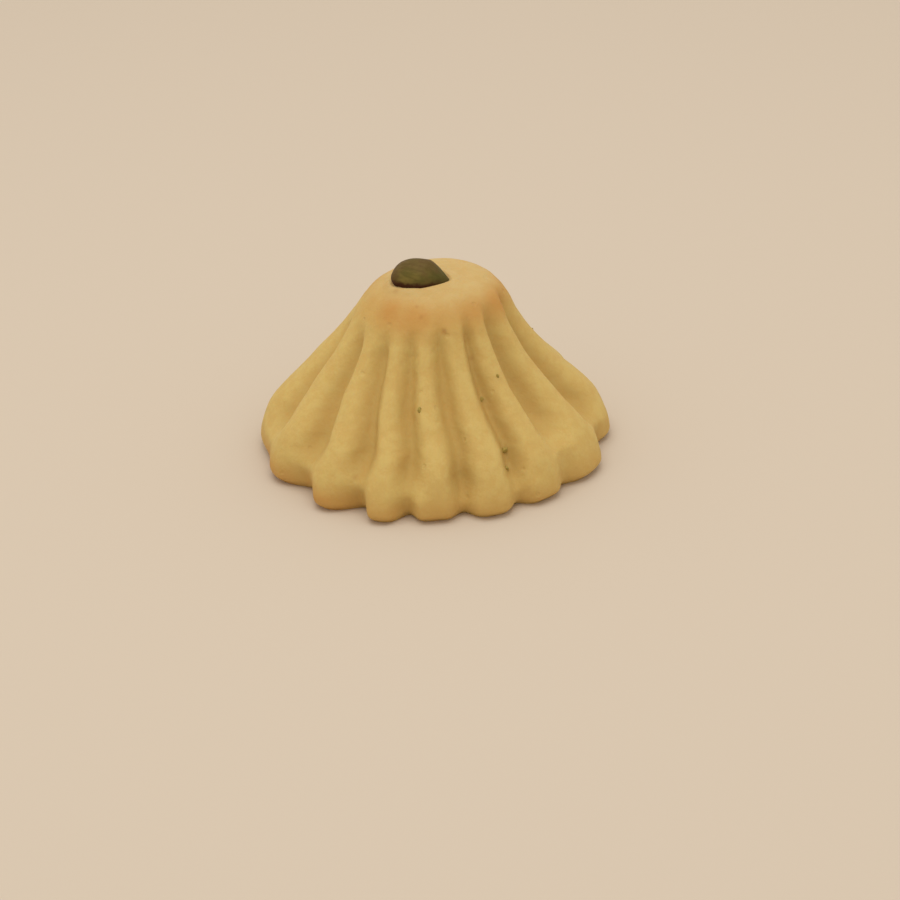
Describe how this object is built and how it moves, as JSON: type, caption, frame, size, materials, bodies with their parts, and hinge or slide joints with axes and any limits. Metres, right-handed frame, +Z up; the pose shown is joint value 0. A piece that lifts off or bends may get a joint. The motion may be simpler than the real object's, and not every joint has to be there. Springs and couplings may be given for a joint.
{
  "type": "ghraybeh",
  "caption": "Cone-shaped butter shortbread biscuit with a fluted side, a smooth domed crown and a pistachio kernel pressed into the top.",
  "frame": {"origin": "centre of the flat foot, on the surface that the biscuit rests on", "axes": "+Z up along the cone's axis, -Y the front that the picture shows, +X to the right in the picture"},
  "size_m": [0.0678, 0.0675, 0.0391],
  "materials": {
    "baked_dough": "pale gold baked shortbread, dry and matt with a fine crumb, browner round the shoulder; matte_plastic stands in for food",
    "pistachio_skin": "dark olive green kernel with a thin reddish brown skin, slightly waxy; matte_plastic stands in for food"
  },
  "bodies": {
    "root": {"biscuit": "baked_dough", "pistachio": "pistachio_skin"}
  },
  "joints": []
}
